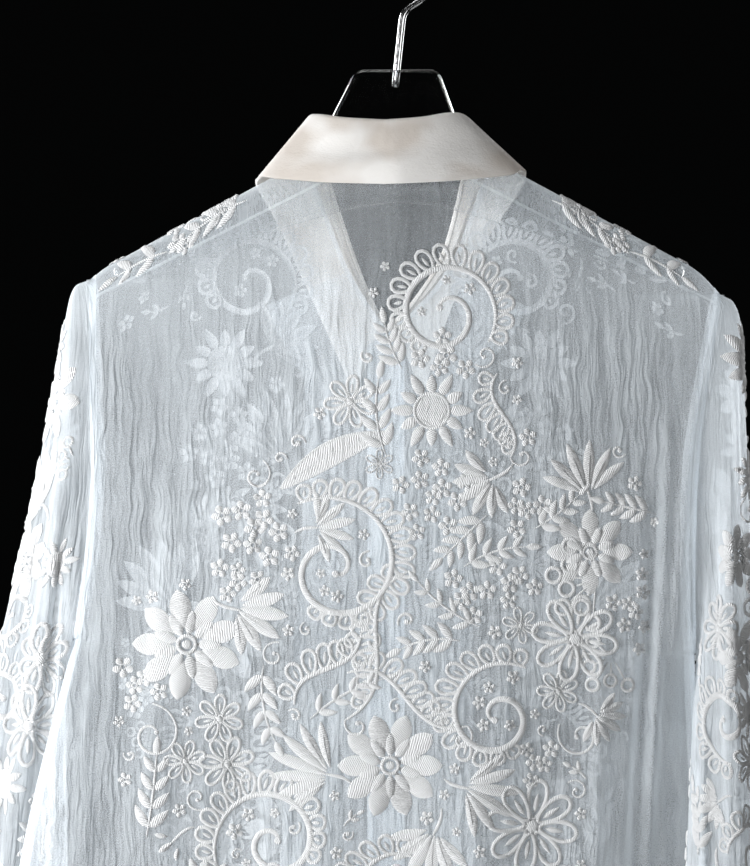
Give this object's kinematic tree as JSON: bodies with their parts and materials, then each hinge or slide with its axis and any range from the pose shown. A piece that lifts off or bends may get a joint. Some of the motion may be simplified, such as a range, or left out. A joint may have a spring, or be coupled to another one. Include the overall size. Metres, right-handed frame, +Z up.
{
  "type": "embroidered shirt on clear hanger",
  "caption": "Sheer long-sleeved shirt with opaque turned-down collar, button front and raised white floral embroidery, hung open-necked on a clear plate hanger with a wire hook.",
  "frame": {"origin": "inner top of the hanger's hook, where it sits on a rail", "axes": "+Z up, from the hem towards the hook; -Y is the way the shirt's front faces; +X is the wearer's left"},
  "size_m": [0.5542, 0.1428, 0.8145],
  "materials": {
    "sheer_cloth": "sheer crinkled crepe, slight silky sheen",
    "collar_cloth": "opaque ivory crepe satin",
    "embroidery_thread": "raised satin stitch, silky",
    "button_shell": "glossy shell",
    "clear_acrylic": "polished clear",
    "hook_metal": "polished wire"
  },
  "bodies": {
    "root": {"back": "sheer_cloth", "front_left": "sheer_cloth", "front_right": "sheer_cloth", "facing_left": "sheer_cloth", "facing_right": "sheer_cloth", "sleeve_left": "sheer_cloth", "sleeve_right": "sheer_cloth", "collar_leaf": "collar_cloth", "collar_stand": "collar_cloth", "flower_top": "embroidery_thread", "flower_side_upper": "embroidery_thread", "flower_side_lower": "embroidery_thread", "flower_left": "embroidery_thread", "flower_middle": "embroidery_thread", "flower_low": "embroidery_thread", "scroll_top": "embroidery_thread", "scroll_middle": "embroidery_thread", "scroll_low": "embroidery_thread", "scroll_left": "embroidery_thread", "button_1": "button_shell", "button_2": "button_shell", "button_3": "button_shell", "button_4": "button_shell", "button_5": "button_shell", "hanger_plate": "clear_acrylic", "hanger_hook": "hook_metal"}
  },
  "joints": []
}
